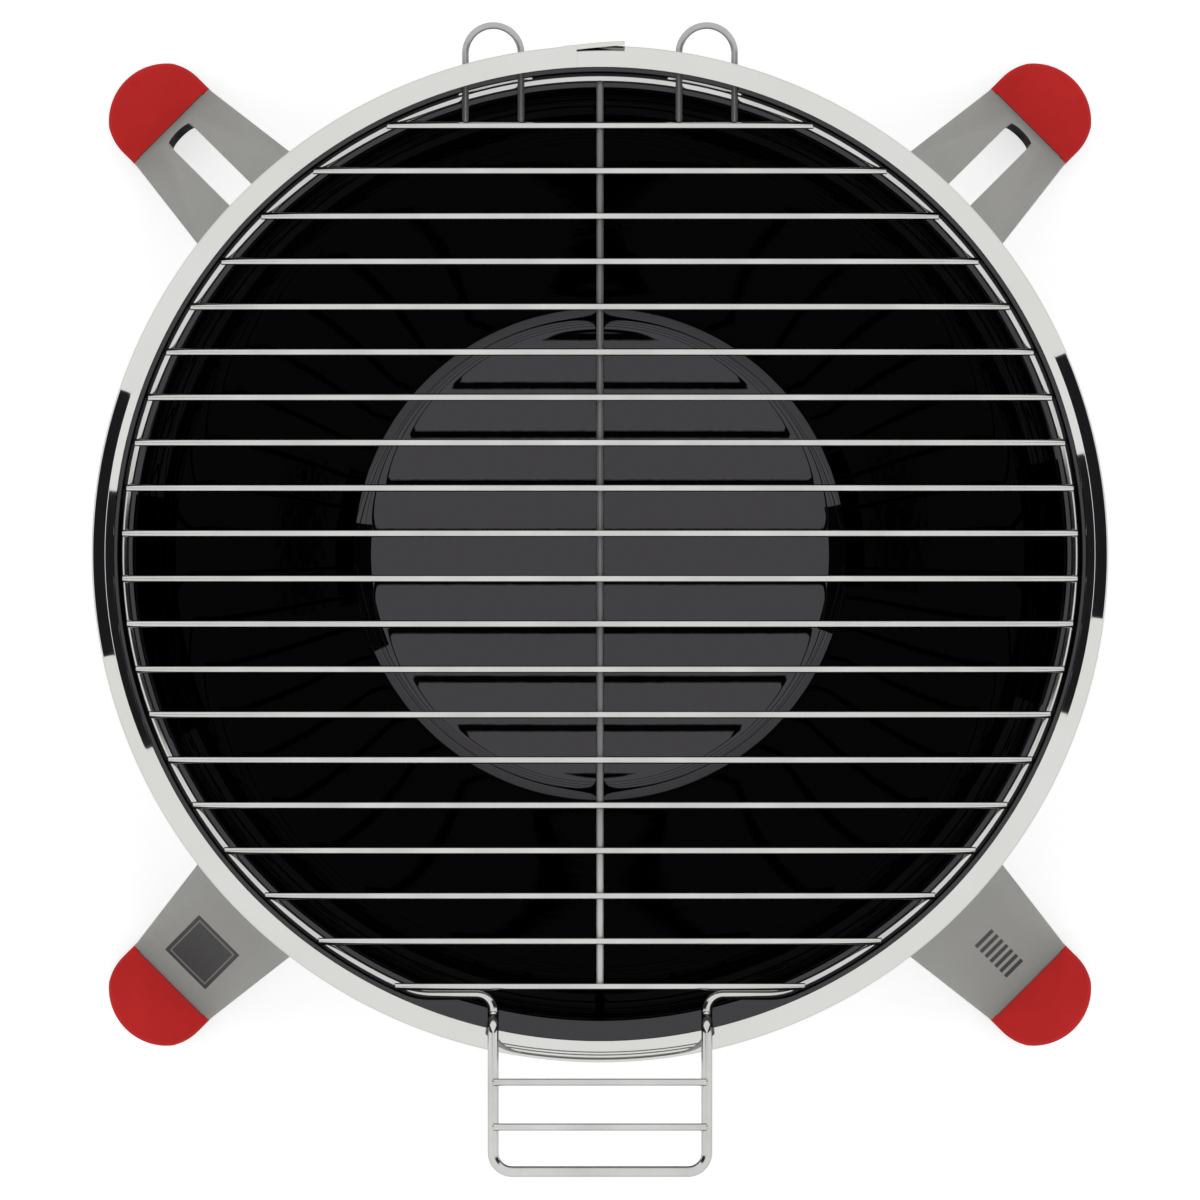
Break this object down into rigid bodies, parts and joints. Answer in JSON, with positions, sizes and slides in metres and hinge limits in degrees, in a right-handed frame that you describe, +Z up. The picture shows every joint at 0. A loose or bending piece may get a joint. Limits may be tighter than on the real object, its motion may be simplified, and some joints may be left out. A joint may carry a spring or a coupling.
{
  "type": "kettle charcoal grill",
  "caption": "Portable kettle charcoal grill: black enamelled bowl with steel rim trim on splayed legs with red feet, and a hooked wire grate with a front handle.",
  "frame": {"origin": "on the ground, under the centre of the whole grill's outline", "axes": "+Z up; -Y to the front, where the grate's handle is; +X to the right. The bowl's own axis is the vertical line at y = 0.0186"},
  "size_m": [0.417, 0.4736, 0.2831],
  "materials": {
    "black_enamel": "gloss vitreous enamel",
    "polished_steel": "mirror-polished stainless strip",
    "satin_steel": "satin stainless sheet",
    "bright_wire": "bright chromed wire",
    "red_plastic": "matt moulded plastic",
    "zinc": "bright zinc plate"
  },
  "bodies": {
    "kettle": {"bowl": "black_enamel", "trim_ring": "polished_steel", "leg_front_right": "satin_steel", "leg_back_right": "satin_steel", "leg_back_left": "satin_steel", "leg_front_left": "satin_steel", "foot_front_right": "red_plastic", "foot_back_right": "red_plastic", "foot_back_left": "red_plastic", "foot_front_left": "red_plastic", "stud_front_right_a": "zinc", "nut_front_right_a": "zinc", "stud_front_right_b": "zinc", "nut_front_right_b": "zinc", "stud_back_right_a": "zinc", "nut_back_right_a": "zinc", "stud_back_right_b": "zinc", "nut_back_right_b": "zinc", "stud_back_left_a": "zinc", "nut_back_left_a": "zinc", "stud_back_left_b": "zinc", "nut_back_left_b": "zinc", "stud_front_left_a": "zinc", "nut_front_left_a": "zinc", "stud_front_left_b": "zinc", "nut_front_left_b": "zinc"},
    "grate": {"grate_frame": "bright_wire", "grate_bar_01": "bright_wire", "grate_bar_02": "bright_wire", "grate_bar_03": "bright_wire", "grate_bar_04": "bright_wire", "grate_bar_05": "bright_wire", "grate_bar_06": "bright_wire", "grate_bar_07": "bright_wire", "grate_bar_08": "bright_wire", "grate_bar_09": "bright_wire", "grate_bar_10": "bright_wire", "grate_bar_11": "bright_wire", "grate_bar_12": "bright_wire", "grate_bar_13": "bright_wire", "grate_bar_14": "bright_wire", "grate_bar_15": "bright_wire", "grate_bar_16": "bright_wire", "grate_bar_17": "bright_wire", "grate_bar_18": "bright_wire", "grate_bar_19": "bright_wire", "grate_bar_20": "bright_wire", "grate_spine": "bright_wire", "grate_hook_left": "bright_wire", "grate_hook_right": "bright_wire", "handle_rung_inner": "bright_wire", "handle_rung_outer": "bright_wire"}
  },
  "joints": [
    {"name": "grate_hinge", "type": "hinge", "parent": "kettle", "child": "grate", "pos_m": [0, 0.2166, 0.27], "axis": [-1, 0, 0], "range_deg": [0, 38]}
  ]
}
